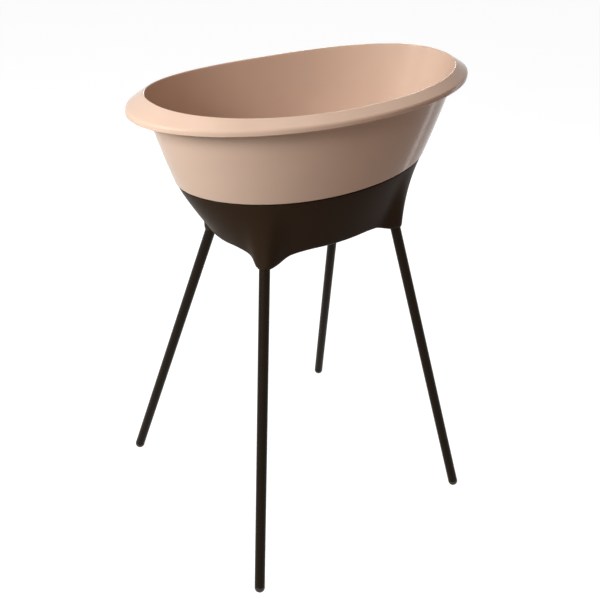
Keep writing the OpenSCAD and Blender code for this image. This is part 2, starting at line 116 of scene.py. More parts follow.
class BathSizes(bpy.types.PropertyGroup):
    """Driving sizes of the moulded bath."""

    length: length_prop("Length", "Overall length of the bath over its rim", TUB_HIGH.x - TUB_LOW.x)
    width: length_prop("Width", "Overall width of the bath over its rim", TUB_HIGH.y - TUB_LOW.y)
    underside: length_prop("Underside", "Height of the bath's underside above the floor", TUB_LOW.z)
    crest: length_prop("Crest", "Height of the rim's crest at mid-length", 1.0)
    wall: length_prop("Wall", "Wall thickness", 0.003)
    floor: length_prop("Floor", "Thickness of the bath's floor", 0.004)
    wall_bow: length_prop("Wall bow", "How far the upper wall bows out between the rim and the seam", 0.002)
    foot_length: length_prop("Foot length", "Length where the walls meet the floor", 0.376)
    foot_width: length_prop("Foot width", "Width where the walls meet the floor", 0.218)
    floor_fillet: length_prop("Floor rounding", "Reach of the rounding between floor and walls", 0.026)
    rim_rise: length_prop("Rim rise", "Rise of the crest at the two ends", 0.012)
    rim_end_width: length_prop("Rim width at the ends", "Width of the sloping rim at the ends", 0.040)
    rim_side_width: length_prop("Rim width at the sides", "Width of the sloping rim along the sides", 0.027)
    rim_end_fall: length_prop("Rim fall at the ends", "Fall of the rim's slope at the ends", 0.019)
    rim_side_fall: length_prop("Rim fall at the sides", "Fall of the rim's slope along the sides", 0.010)
    rim_lip: length_prop("Lip", "Height of the rim's outer lip", 0.010)
    seam_length: length_prop("Seam length", "Length of the upper wall where it ends above the cradle", 0.584)
    seam_width: length_prop("Seam width", "Width of the upper wall where it ends above the cradle", 0.302)
    seam_drop: length_prop("Seam drop", "Drop from the crest to the seam at mid-length", 0.180)
    seam_rise: length_prop("Seam rise", "Rise of the seam at the two ends", 0.016)
    columns: IntProperty(name="Columns", description="Points round the bath", default=352, min=64, max=512)


class CradleSizes(bpy.types.PropertyGroup):
    """Driving sizes of the moulded cradle."""

    wall: length_prop("Wall", "Wall thickness", 0.0032)
    boss: length_prop("Seat height", "Height of the pads' seats above the cradle's floor", 0.004)
    rib_height: length_prop("Rib height", "Height of the ribs on the cradle's floor", 0.003)
    rib_width: length_prop("Rib width", "Thickness of the ribs on the cradle's floor", 0.002)
    overhang: length_prop("Overhang", "How far the bath stands out over the cradle", 0.003)
    gap: length_prop("Shadow line", "Open line between the bath and the cradle's edge", 0.0025)
    nest_gap: length_prop("Nest gap", "Gap between the bath's lower wall and the cradle", 0.0012)
    keel_length: length_prop("Keel length", "Length of the underside", 0.418)
    keel_width: length_prop("Keel width", "Width of the underside", 0.252)
    arch_rise: length_prop("Arch", "Rise of the underside between the sockets", 0.019)
    keel_rise: length_prop("Keel rise", "Further rise of the underside at the two ends", 0.010)
    arch_run_x: length_prop("Arch run along", "Distance along the bath over which the underside comes down", 0.103)
    arch_run_y: length_prop("Arch run across", "Distance across the bath over which the underside comes down", 0.059)
    fillet: length_prop("Edge rounding", "Reach of the rounding along the lower edge", 0.008)
    corner_width: length_prop("Corner width", "Half width of each corner that swells out to a socket", 0.027)
    columns: IntProperty(name="Columns", description="Points round the cradle", default=384, min=64, max=512)


class LegSizes(bpy.types.PropertyGroup):
    """Driving sizes of the legs and their sockets."""

    foot_x: length_prop("Feet along", "Distance between the feet along the bath", 0.587)
    foot_y: length_prop("Feet across", "Distance between the feet across the bath", 0.564)
    socket_x: length_prop("Sockets along", "Distance between the socket mouths along the bath", 0.341)
    socket_y: length_prop("Sockets across", "Distance between the socket mouths across the bath", 0.202)
    diameter: length_prop("Diameter", "Outer diameter of a leg tube", 0.0222)
    wall: length_prop("Wall", "Wall thickness of a leg tube", 0.0012)
    depth: length_prop("Socket depth", "Length of tube held in each socket", 0.042)
    socket_wall: length_prop("Socket wall", "Wall thickness of a socket", 0.0026)
    foot_flat: length_prop("Foot flat", "How far the round foot is flattened against the floor", 0.001)


class DrainSizes(bpy.types.PropertyGroup):
    """Driving sizes of the drain."""

    place: length_prop("Place", "Distance of the drain from the middle of the bath", 0.118)
    hole: length_prop("Hole", "Diameter of the hole in the bath's floor", 0.040)
    flange: length_prop("Flange", "Diameter of the drain's flange", 0.060)
    recess: length_prop("Recess", "Depth of the recess that the flange lies in", 0.0015)
    way: length_prop("Way", "Diameter of the hole in the cradle that the drain passes", 0.068)


class Finishes(bpy.types.PropertyGroup):
    """Colours of the surfaces, and the roughness of the three largest."""

    nude: colour_prop("Nude plastic", "Colour of the bath", (0.70, 0.505, 0.39))
    nude_gloss: share_prop("Bath roughness", "Roughness of the bath's satin surface", 0.13)
    espresso: colour_prop("Espresso plastic", "Colour of the cradle", (0.033, 0.020, 0.012))
    espresso_gloss: share_prop("Cradle roughness", "Roughness of the cradle's satin surface", 0.42)
    paint: colour_prop("Espresso paint", "Colour of the powder coat on the legs", (0.013, 0.009, 0.006))
    paint_gloss: share_prop("Leg roughness", "Roughness of the powder coat", 0.34)
    rubber: colour_prop("Rubber", "Colour of the feet", (0.020, 0.015, 0.012))
    pale: colour_prop("Pale plastic", "Colour of the drain fittings", (0.70, 0.66, 0.60))


class Studio(bpy.types.PropertyGroup):
    """Camera, lamps and floor."""

    camera_x: place_prop("Camera X", "Camera's place along the bath", -0.9909)
    camera_y: place_prop("Camera Y", "Camera's place across the bath", -1.2904)
    camera_z: place_prop("Camera Z", "Camera's height", 1.5015)
    azimuth: turn_prop("Azimuth", "Turn of the camera round the bath", math.radians(-37.452))
    pitch: turn_prop("Pitch", "How far the camera looks down", math.radians(31.725))
    roll: turn_prop("Roll", "Turn of the camera about its own axis", math.radians(2.503))
    lens: factor_prop("Lens", "Focal length in millimetres, on a 36 mm sensor", 50.85)
    light: factor_prop("Light", "Power of the lamps, as a share of their own", 1.0)
    fill: factor_prop("Fill", "Strength of the even light from all round", 0.02)


# ---- outlines, rows and surfaces


def outline(half_length, half_width, squareness, height, rise):
    """A plan outline: a superellipse at a height, rising towards the two ends."""
    return np.array([half_length, half_width, squareness, height, rise], float)


def grow(shape, out, up=0.0):
    """The outline moved outwards and up."""
    return shape + np.array([out, out, 0, up, 0])


def mix(start, end, share):
    """start (1 - share) + end share."""
    return start * (1 - share) + end * share


def parabola(start, corner, end, t):
    """start (1 - t)^2 + corner 2 t (1 - t) + end t^2, for a column of t."""
    return start * (1 - t) ** 2 + corner * (2 * t * (1 - t)) + end * t**2


def oval_radius(phi, a, b, n):
    """Radius of a superellipse in the direction phi: (|cos phi / a|^n + |sin phi / b|^n)^(-1/n)."""
    return ((np.abs(np.cos(phi)) / a) ** n + (np.abs(np.sin(phi)) / b) ** n) ** (-1 / n)


def directions(count, ratio, gather=0.0):
    """Directions round the plan: even on an ellipse of that ratio, and gathered towards its four corners."""
    v = np.linspace(0, 2 * math.pi, count, endpoint=False)
    u = v + gather * np.sin(4 * v)
    return np.arctan2(ratio * np.sin(u), np.cos(u))


def ovals(rows, phi):
    """One ring of points for each outline: radius from oval_radius, height z + rise (x / a)^2."""
    a, b, n, z, rise = (rows[:, k, None] for k in range(5))
    r = oval_radius(phi[None, :], a, b, n)
    x = r * np.cos(phi)
    return np.stack([x, r * np.sin(phi), z + rise * (x / a) ** 2], axis=-1)


def rounded(corners, reaches, steps=7):
    """Rows along a line of corners, each rounded by a parabola that leaves the line at its reach before the corner
    and comes back to it as far after, but takes no more than 0.49 of a stretch. The straight stretches get rows near
    their ends, which keep them flat."""
    corners = np.asarray(corners)
    shift = np.diff(corners, axis=0)
    span = np.hypot(shift[:, 0], shift[:, 3])
    t = np.linspace(0, 1, steps)[:, None]
    rows = [corners[:1]]
    for k in range(1, len(corners) - 1):
        before = min(reaches[k], span[k - 1] * 0.49) / span[k - 1]
        after = min(reaches[k], span[k] * 0.49) / span[k]
        start = corners[k] - shift[k - 1] * before
        end = corners[k] + shift[k] * after
        last = rows[-1][-1]
        rows.append(mix(last, start, STRETCH))
        rows.append(parabola(start, corners[k], end, t))
    rows.append(mix(rows[-1][-1], corners[-1], LAST_STRETCH))
    return np.concatenate(rows)


def toward_circle(ring, centre_x, radius, shares):
    """Rings between a ring and a circle: each point goes straight towards the circle's centre, by the shares."""
    centre = np.array([centre_x, 0.0])
    away = ring[:, :2] - centre
    on_circle = centre + away * (radius / np.linalg.norm(away, axis=1))[:, None]
    return ring[None, :, :2] * (1 - shares[:, None, None]) + on_circle[None] * shares[:, None, None]


def flat_rings(plan, height):
    """The plan points at one height."""
    return np.concatenate([plan, np.full(plan.shape[:2] + (1,), height)], axis=-1)


def grid_faces(rows, columns, closed):
    """Four-cornered faces between neighbouring rings; the last ring joins the first when closed."""
    row = np.arange(rows if closed else rows - 1)[:, None]
    column = np.arange(columns)[None, :]
    beside = (column + 1) % columns
    here, above = row * columns, (row + 1) % rows * columns
    return np.stack([here + column, here + beside, above + beside, above + column], axis=-1).reshape(-1, 4)


def fan_faces(pole, ring_start, columns, turned):
    """Triangles from a pole to a ring."""
    here = np.arange(columns)
    there = (here + 1) % columns
    pair = (there, here) if turned else (here, there)
    return np.stack([np.full(columns, pole), ring_start + pair[0], ring_start + pair[1]], axis=-1)


def smooth_mesh(name, points, faces, sharp=None):
    """A smooth mesh, but with sharp edges from that angle."""
    mesh = bpy.data.meshes.new(name)
    mesh.from_pydata(points, [], faces)
    mesh.shade_smooth()
    if sharp:
        mesh.set_sharp_from_angle(angle=sharp)
    return mesh


def mesh_of(name, rings, closed=False, poles=None, sharp=None):
    """A mesh from rings of points. poles are the two points that close its ends when it isn't closed on itself."""
    rows, columns = rings.shape[:2]
    points = rings.reshape(-1, 3)
    faces = grid_faces(rows, columns, closed).tolist()
    if poles is not None:
        count = len(points)
        points = np.concatenate([points, np.asarray(poles, float)])
        faces += fan_faces(count, 0, columns, True).tolist()
        faces += fan_faces(count + 1, (rows - 1) * columns, columns, False).tolist()
    return smooth_mesh(name, points.tolist(), faces, sharp)


def placed(name, data):
    """A new object in the scene."""
    thing = bpy.data.objects.new(name, data)
    bpy.context.scene.collection.objects.link(thing)
    return thing


def piece(name, mesh, material, body, slot, *nodes):
    """Puts a mesh in the scene as a piece that rides on a body, stands for CAD nodes and takes the material. The slot
    argument is not used.
    """
    thing = placed(name, mesh)
    mesh.materials.append(material)
    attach(thing, body)
    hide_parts(*nodes)


def dress(material, *nodes):
    """Gives CAD nodes their material."""
    for node in nodes:
        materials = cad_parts[node].data.materials
        materials.clear()
        materials.append(material)


class Axis:
    """A line in space with two directions across it. A lathe's height runs along it."""

    def __init__(self, origin, along):
        self.origin = np.asarray(origin, float)
        self.along = np.asarray(along, float) / np.linalg.norm(along)
        side = np.cross([0.0, 1.0, 0.0], self.along)
        self.across = side / np.linalg.norm(side)
        self.third = np.cross(self.along, self.across)

    def place(self, height):
        """The point on the axis at that height."""
        return self.origin + self.along * height

    def rings(self, profile):
        """Rings of a turned shape: a profile of (radius, height) carried round the axis."""
        turn = np.linspace(0, 2 * math.pi, TURNS, endpoint=False)
        spoke = np.cos(turn)[:, None] * self.across + np.sin(turn)[:, None] * self.third
        profile = np.asarray(profile, float)
        return self.origin + profile[:, None, :1] * spoke + profile[:, None, 1:] * self.along


def turned_profile(corners, reach, steps=5):
    """A profile of (radius, height) with every inner corner rounded by a parabola of that reach, or of 0.45 of a
    side that is too short for it."""
    corners = np.asarray(corners, float)
    t = np.linspace(0, 1, steps)[:, None]
    rows = [corners[:1]]
    for k in range(1, len(corners) - 1):
        to_last = corners[k - 1] - corners[k]
        to_next = corners[k + 1] - corners[k]
        start = corners[k] + to_last * min(reach / np.linalg.norm(to_last), 0.45)
        end = corners[k] + to_next * min(reach / np.linalg.norm(to_next), 0.45)
        rows.append(parabola(start, corners[k], end, t))
    rows.append(corners[-1:])
    return np.concatenate(rows)


def leg_axis(legs, side, socket_z):
    """Axis of a leg, from its point on the floor up through its socket."""
    foot = np.array([side[0] * legs.foot_x / 2, side[1] * legs.foot_y / 2, 0.0])
    mouth = np.array([side[0] * legs.socket_x / 2, side[1] * legs.socket_y / 2, socket_z])
    return Axis(foot, mouth - foot)


# ---- materials


class Nodes:
    """A node tree under construction: its nodes are made and joined by short calls."""

    def __init__(self, tree):
        self.tree = tree

    def node(self, kind, **values):
        """A node with its values: names that it has as attributes, and else its inputs."""
        made = self.tree.nodes.new(kind)
        for key, value in values.items():
            if hasattr(made, key):
                setattr(made, key, value)
            else:
                made.inputs[key.replace("_", " ")].default_value = value
        return made

    def join(self, value, socket):
        """Gives a socket another node's output, a number or a colour."""
        if isinstance(value, bpy.types.NodeSocket):
            self.tree.links.new(value, socket)
        elif isinstance(value, (int, float)):
            socket.default_value = value
        else:
            socket.default_value = (*value, 1.0)

    def between(self, value, low=0, high=1, start=0.3, end=0.7):
        """The value's span start..end carried over to low..high."""
        made = self.node("ShaderNodeMapRange", From_Min=start, From_Max=end, To_Min=low, To_Max=high)
        self.join(value, made.inputs["Value"])
        return made.outputs["Result"]

    def blend(self, factor, first, second):
        """A colour between two, by the factor."""
        made = self.node("ShaderNodeMix", data_type="RGBA")
        self.join(factor, made.inputs["Factor"])
        self.join(first, made.inputs["A"])
        self.join(second, made.inputs["B"])
        return made.outputs["Result"]

    def combine(self, operation, *values):
        """What an operation makes of its values, which are numbers or other nodes' outputs."""
        made = self.node("ShaderNodeMath", operation=operation)
        for value, socket in zip(values, made.inputs):
            self.join(value, socket)
        return made.outputs["Value"]

    def seen(self):
        """1 for the camera's rays and for what gloss and glass show of them, and 0 for the light on everything else."""
        path = self.node("ShaderNodeLightPath")
        value = path.outputs["Is Camera Ray"]
        for name in ("Is Glossy Ray", "Is Transmission Ray"):
            value = self.combine("MAXIMUM", value, path.outputs[name])
        return value


class Finish(Nodes):
    """A material under construction."""

    def __init__(self, name):
        self.material = bpy.data.materials.new(name)
        self.material.use_nodes = True
        super().__init__(self.material.node_tree)
        self.shader = self.tree.nodes["Principled BSDF"]
        self.place = self.node("ShaderNodeTexCoord").outputs["Object"]

    def feed(self, name, value):
        """Gives the shader's input of that name its value."""
        self.join(value, self.shader.inputs[name])

    def noise(self, scale, detail=2.0, roughness=0.5):
        """Noise over the object's own coordinates, in waves per metre."""
        made = self.node("ShaderNodeTexNoise", Scale=scale, Detail=detail, Roughness=roughness)
        self.join(self.place, made.inputs["Vector"])
        return made.outputs["Fac"]

    def vary(self, scale, detail, middle, less, more):
        """Noise that goes from middle - less to middle + more."""
        return self.between(self.noise(scale, detail), middle - less, middle + more)

    def bump(self, height, depth, below=None):
        """Raises the surface by the height's value times the depth, in metres."""
        made = self.node("ShaderNodeBump", Strength=1.0, Distance=depth)
        self.join(height, made.inputs["Height"])
        if below is not None:
            self.join(below, made.inputs["Normal"])
        return made.outputs["Normal"]


def shade(colour, factor):
    """The colour, lighter or darker by the factor."""
    return tuple(min(1.0, c * factor) for c in colour)


def moulded_plastic(name, colour, roughness, grain=0.00001, tone=0.03, specular=0.5, sheen=WHITE):
    """Satin injection-moulded plastic: a fine etched grain, slow waves where the melt cooled, and faint cloudy tone."""
    finish = Finish(name)
    finish.feed("Specular IOR Level", specular)
    finish.feed("Specular Tint", sheen)
    clouds = finish.between(finish.noise(7, 3))
    finish.feed("Base Color", finish.blend(clouds, shade(colour, 1 - tone), shade(colour, 1 + tone)))
    finish.feed("Roughness", finish.vary(12, 1, roughness, 0.015, 0.015))
    waves = finish.bump(finish.noise(18, 1), 0.00008)
    finish.feed("Normal", finish.bump(finish.noise(1500, 2), grain, waves))
    return finish.material


def powder_coat(name, colour, roughness, specular=0.08, wear_height=0.05, wear_dulls=0.25):
    """Powder-coated steel: orange-peel bumps, a fine speckle, and dull scuffs low down where shoes and mops reach."""
    finish = Finish(name)
    finish.feed("Specular IOR Level", specular)
    finish.feed("Specular Tint", WARM_SHEEN)
    speckle = finish.between(finish.noise(900, 2), start=0.35, end=0.75)
    coat = finish.blend(speckle, shade(colour, 0.88), shade(colour, 1.22))
    height = finish.node("ShaderNodeSeparateXYZ")
    finish.join(finish.place, height.inputs["Vector"])
    low = finish.between(height.outputs["Z"], 1, 0, 0.0, wear_height)
    patches = finish.between(finish.noise(160, 4, 0.7), start=0.52, end=0.66)
    scuffs = finish.combine("MULTIPLY", low, patches)
    finish.feed("Base Color", finish.blend(scuffs, coat, shade(colour, 2.6)))
    even = finish.vary(60, 2, roughness, 0.04, 0.05)
    finish.feed("Roughness", finish.combine("MULTIPLY_ADD", scuffs, wear_dulls, even))
    finish.feed("Normal", finish.bump(finish.noise(700, 1.5), 0.00008))
    return finish.material


def rubber(name, colour, roughness=0.62):
    """Dense rubber: matt, with a fine sandy grain and slightly paler dust in it."""
    finish = Finish(name)
    dust = finish.between(finish.noise(420, 5, 0.7), start=0.45, end=0.8)
    finish.feed("Base Color", finish.blend(dust, colour, shade(colour, 1.9)))
    finish.feed("Roughness", finish.vary(90, 3, roughness, 0.07, 0.08))
    finish.feed("Normal", finish.bump(finish.noise(1100, 3), 0.00007))
    return finish.material


def plated_metal(name, colour, roughness):
    """Plated or machined metal: fine turning marks and a mottled sheen."""
    finish = Finish(name)
    finish.feed("Metallic", 1.0)
    finish.feed("Base Color", finish.blend(finish.between(finish.noise(240, 4)), shade(colour, 0.86), colour))
    finish.feed("Roughness", finish.vary(520, 3, roughness, 0.05, 0.10))
    finish.feed("Normal", finish.bump(finish.noise(2200, 2), 0.00002))
    return finish.material


def silicone(name, colour, roughness=0.46):
    """Soft milky silicone that lets some light in."""
    finish = Finish(name)
    finish.feed("Subsurface Weight", 0.35)
    finish.feed("Subsurface Scale", 0.004)
    finish.feed("Base Color", finish.blend(finish.between(finish.noise(80, 3)), shade(colour, 0.93), colour))
    finish.feed("Roughness", finish.vary(150, 2, roughness, 0.06, 0.06))
    return finish.material


# ---- the bath


def bath_outlines(bath, cradle):
    """The bath's main outlines: crest, outer edge of the rim, seam, top of the nested wall, and foot."""
    half_x, half_y = bath.length / 2, bath.width / 2
    crest = outline(half_x - bath.rim_end_width, half_y - bath.rim_side_width, CREST_N, bath.crest, bath.rim_rise)
    edge_rise = bath.rim_rise - (bath.rim_end_fall - bath.rim_side_fall)
    edge = outline(half_x, half_y, RIM_N, bath.crest - bath.rim_side_fall, edge_rise)
    seam = outline(bath.seam_length / 2, bath.seam_width / 2, SEAM_N, bath.crest - bath.seam_drop, bath.seam_rise)
    nested = grow(seam, -(cradle.overhang + cradle.wall + cradle.nest_gap))
    foot = outline(bath.foot_length / 2, bath.foot_width / 2, FOOT_N, bath.underside, 0)
    return crest, edge, seam, nested, foot


def bath_rings(bath, cradle, drain, ratio=0.55, floor_rows=14):
    """The bath as one skin that closes on itself: from the drain's hole out under the floor, up the outside, round
    the rim, down the inside and back over the floor. Its columns are spread as on an ellipse of the ratio."""
    crest, edge, seam, nested, foot = bath_outlines(bath, cradle)
    wall = bath.wall
    floor_out = grow(foot, -bath.floor_fillet * 1.3)
    rim_foot = mix(grow(crest, wall, -wall - 2 * MM), edge, 0.06)

    def bowed(start, end):
        """Points between the two outlines, moved out by 4 bow t (1 - t)."""
        return [(grow(mix(start, end, t), 4 * bath.wall_bow * t * (1 - t)), 12 * MM) for t in BOW_STEPS]

    # Each outline on the way, with the reach of the rounding there
    corners = [
        (floor_out, 0),
        (foot, bath.floor_fillet),
        (nested, 1.2 * MM),
        (seam, 1.8 * MM),
        *bowed(seam, rim_foot),
        (rim_foot, 7 * MM),
        (grow(mix(crest, edge, 0.86), 0, -wall - 0.8 * MM), 3 * MM),
        (grow(edge, -wall, -6 * MM), 2 * MM),
        (grow(edge, -wall, -bath.rim_lip), 1.2 * MM),
        (grow(edge, 0, -bath.rim_lip), 1.5 * MM),
        (grow(edge, 0, 0), 5 * MM),
        (grow(crest, 1.6 * MM, 0.6 * MM), 2.2 * MM),
        (grow(crest, 0, -0.4 * MM), 2.2 * MM),
        *bowed(crest, grow(seam, -wall)),
        (grow(seam, -wall, 4 * MM), 6 * MM),
        (grow(nested, -wall, -1 * MM), 6 * MM),
        (grow(foot, -wall, bath.floor), bath.floor_fillet),
        (grow(floor_out, -wall, bath.floor), 0),
    ]
    phi = directions(bath.columns, ratio)
    body = ovals(rounded([shape for shape, _ in corners], [reach for _, reach in corners]), phi)
    floor_z = bath.underside + bath.floor
    bed_z = floor_z - drain.recess
    hole = drain.hole / 2
    recess = drain.flange / 2 + MM
    out = np.linspace(1, 0, floor_rows)[:-1]
    below = flat_rings(toward_circle(body[0], drain.place, hole, out), bath.underside)
    above = flat_rings(toward_circle(body[-1], drain.place, recess, out[::-1]), floor_z)
    # The recess: in from its edge, down, and over its bed to the hole
    ledge = [
        flat_rings(toward_circle(above[-1], drain.place, radius, np.ones(1)), height)
        for radius, height in ((recess - 0.4 * MM, floor_z - 0.3 * MM), (recess - 0.5 * MM, bed_z), (hole, bed_z))
    ]
    return np.concatenate([below, body, above, *ledge])


class MakeBath(bpy.types.Operator):
    """Make the moulded bath"""

    bl_idname = "bath_stand.make_bath"
    bl_label = "Bath"

    def execute(self, context):
        scene = context.scene
        finish = scene.finishes
        nude = moulded_plastic("nude plastic", finish.nude, finish.nude_gloss, specular=0.16, sheen=(1.0, 0.85, 0.74))
        rings = bath_rings(scene.bath, scene.cradle, scene.drain)
        piece("bath_surface", mesh_of("bath_surface", rings, closed=True), nude, "bath", "nude_plastic", "bath_tub")
        return {"FINISHED"}


# ---- the cradle


class CradleForm:
    """The cradle's form as functions of the direction and the share of the way down."""

    BELL_POWER = 2.7
    SWELL_POWER = 1.4
    WALL_POWER = 1.12
    # How far round a socket the underside stays level, in socket radii
    LAND = 1.5
    # Rows down the wall, round the lower edge, over the floor and round the upper edge
    WALL_ROWS, TURN_ROWS, FLOOR_ROWS, EDGE_ROWS = 22, 10, 30, 9
    EDGE_HEIGHT = 1.2 * MM
    # How the columns are spread: even on an ellipse of this ratio, and gathered towards the corners
    RATIO, GATHER = 0.59, 0.15

    def __init__(self, bath, cradle, legs, drain):
        self.cradle, self.bath, self.drain = cradle, bath, drain
        self.top_a = bath.seam_length / 2 - cradle.overhang
        self.top_b = bath.seam_width / 2 - cradle.overhang
        self.top_z = bath.crest - bath.seam_drop - cradle.gap
        self.seat_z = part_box("seat_pads")[0].z
        self.bed_z = self.seat_z - cradle.boss
        self.keel_z = self.bed_z - cradle.wall
        self.socket_z = self.keel_z - cradle.arch_rise
        self.socket_x = legs.socket_x / 2
        self.socket_y = legs.socket_y / 2
        self.socket_r = legs.diameter / 2 + legs.socket_wall + PLAY
        self.socket_off = math.hypot(self.socket_x, self.socket_y)
        self.socket_turn = math.atan2(self.socket_y, self.socket_x)

    def bell(self, phi, width):
        """1 at a socket's direction, falling like a bell: exp(-(arc / width)^power)."""
        cosine = np.abs(np.cos(phi)) * math.cos(self.socket_turn) + np.abs(np.sin(phi)) * math.sin(self.socket_turn)
        turn = np.arccos(np.clip(cosine, -1, 1))
        return np.exp(-((self.socket_off * turn / width) ** self.BELL_POWER))

    def under_z(self, x, y):
        """Underside: an arch of 1 - (1 - v)^2 away from each socket, higher towards the ends by the square of x."""
        run_x = (np.abs(x) - self.socket_x) / self.cradle.arch_run_x
        run_y = (np.abs(y) - self.socket_y) / self.cradle.arch_run_y
        v = np.clip(np.hypot(run_x, run_y) - self.socket_r * self.LAND / self.cradle.arch_run_x, 0, 1)
        rise = self.cradle.arch_rise + self.cradle.keel_rise * (2 * x / self.cradle.keel_length) ** 2
        return self.socket_z + rise * (1 - (1 - v) ** 2)

    def wall_r(self, phi, inset, t):
        """Radius of the wall: the upper oval blends into the keel's, plus a swelling towards the sockets."""
        cradle = self.cradle
        top = oval_radius(phi, self.top_a - inset, self.top_b - inset, SEAM_N)
        keel = oval_radius(phi, cradle.keel_length / 2 - inset, cradle.keel_width / 2 - inset, KEEL_N)
        out = self.socket_off + self.socket_r - inset
        swell = (out - keel) * self.bell(phi, cradle.corner_width - inset)
        return top + (keel - top) * t**self.WALL_POWER + swell * t**self.SWELL_POWER

    def wall(self, phi, inset, up, t):
        """Rings down the wall, for a column of shares t."""
        r = self.wall_r(phi, inset, t)
        low = self.wall_r(phi, inset, 1.0)
        top_x = oval_radius(phi, self.top_a, self.top_b, SEAM_N) * np.cos(phi)
        top_z = self.top_z + self.bath.seam_rise * (top_x / self.top_a) ** 2
        low_z = self.under_z(low * np.cos(phi), low * np.sin(phi)) + up
        return np.stack([r * np.cos(phi), r * np.sin(phi), top_z + (low_z - top_z) * t], axis=-1)

    def side(self, phi, inset, up):
        """Rings from the upper edge down the wall, round the lower edge and in to the drain's way."""
        edge = self.wall(phi, inset, up, np.ones((1, 1)))[0]
        wall_t = 1 - self.cradle.fillet / (self.top_z - edge[:, 2])
        under_t = 1 - self.cradle.fillet / np.linalg.norm(edge[:, :2], axis=1)
        down = np.linspace(0, 1, self.WALL_ROWS)[:, None]
        wall = self.wall(phi, inset, up, down * wall_t)
        under = edge.copy()
        under[:, :2] *= under_t[:, None]
        under[:, 2] = self.under_z(under[:, 0], under[:, 1]) + up
        t = np.linspace(0, 1, self.TURN_ROWS)[1:, None, None]
        turn = parabola(wall[-1][None], edge[None], under[None], t)
        shares = np.linspace(0, 1, self.FLOOR_ROWS)[1:]
        plan = toward_circle(turn[-1], self.drain.place, self.drain.way / 2, shares)
        floor = np.concatenate([plan, (self.under_z(plan[..., 0], plan[..., 1]) + up)[..., None]], axis=-1)
        return np.concatenate([wall, turn, floor])

    def rings(self, columns):
        """The shell as one skin that closes on itself, with a half-round upper edge."""
        thick = self.cradle.wall
        phi = directions(columns, self.RATIO, self.GATHER)
        outside = self.side(phi, 0.0, 0.0)
        inside = self.side(phi, thick, thick)
        middle = (outside[0] + inside[0]) / 2
        half = (outside[0] - inside[0]) / 2
        turn = np.linspace(0, math.pi, self.EDGE_ROWS)[1:-1, None, None]
        round_edge = middle + half * np.cos(turn)
        round_edge[..., 2] += (np.sin(turn)[..., 0] - 1) * self.EDGE_HEIGHT
        outside[0, :, 2] -= self.EDGE_HEIGHT
        inside[0, :, 2] -= self.EDGE_HEIGHT
        return np.concatenate([outside[::-1], round_edge, inside])


def joined(name, parts, sharp=math.radians(40)):
    """One mesh that holds several."""
    points, faces = [], []
    for part in parts:
        start = len(points)
        points += [vertex.co.copy() for vertex in part.vertices]
        faces += [[start + k for k in polygon.vertices] for polygon in part.polygons]
    return smooth_mesh(name, points, faces, sharp)


def cut(mesh, adds, takes):
    """The mesh with some turned solids added and others taken away."""
    base = placed("cut_base", mesh)
    helpers = []
    for operation, parts in (("UNION", adds), ("DIFFERENCE", takes)):
        helper = placed("cut_parts", joined("cut_parts", parts))
        helpers.append(helper)
        modifier = base.modifiers.new(operation.title(), "BOOLEAN")
        modifier.operation = operation
        modifier.object = helper
        modifier.solver = "EXACT"
    bpy.context.view_layer.update()
    result = bpy.data.meshes.new_from_object(base.evaluated_get(bpy.context.evaluated_depsgraph_get()))
    for helper in [base, *helpers]:
        bpy.data.objects.remove(helper)
    return result


def rod(axis, profile):
    """A closed turned solid along an axis, from a profile of (radius, height)."""
    poles = [axis.place(profile[0][1]), axis.place(profile[-1][1])]
    return mesh_of("rod", axis.rings(profile), poles=poles)


def circle_plan(centre, radius):
    """Points round a circle."""
    turn = np.linspace(0, 2 * math.pi, TURNS, endpoint=False)
    return np.asarray(centre) + radius * np.stack([np.cos(turn), np.sin(turn)], axis=-1)


def strip_plan(start, end, width, count=24):
    """Points round a narrow strip between two points."""
    start, end = np.asarray(start, float), np.asarray(end, float)
    along = (end - start) / np.linalg.norm(end - start)
    side = np.array([along[1], -along[0]]) * width / 2
    line = start + (end - start) * np.linspace(0, 1, count)[:, None]
    return np.concatenate([line + side, line[::-1] - side])


def on_floor(form, plan):
    """The plan points at the middle of the floor's thickness."""
    return np.column_stack([plan, form.under_z(plan[:, 0], plan[:, 1]) + form.cradle.wall / 2])


def block(form, plan, high):
    """A closed block on the cradle's floor, up to a height."""
    foot = on_floor(form, np.vstack([plan, plan.mean(axis=0)]))
    top = np.column_stack([foot[:, :2], np.full(len(foot), high)])
    return mesh_of("block", np.stack([foot[:-1], top[:-1]]), poles=[foot[-1], top[-1]])


def collar(form, inner, outer, high):
    """A closed ring on the cradle's floor, up to a height."""
    rows = [on_floor(form, outer), np.column_stack([outer, np.full(len(outer), high)])]
    rows += [np.column_stack([inner, np.full(len(inner), high)]), on_floor(form, inner)]
    return mesh_of("collar", np.stack(rows), closed=True)


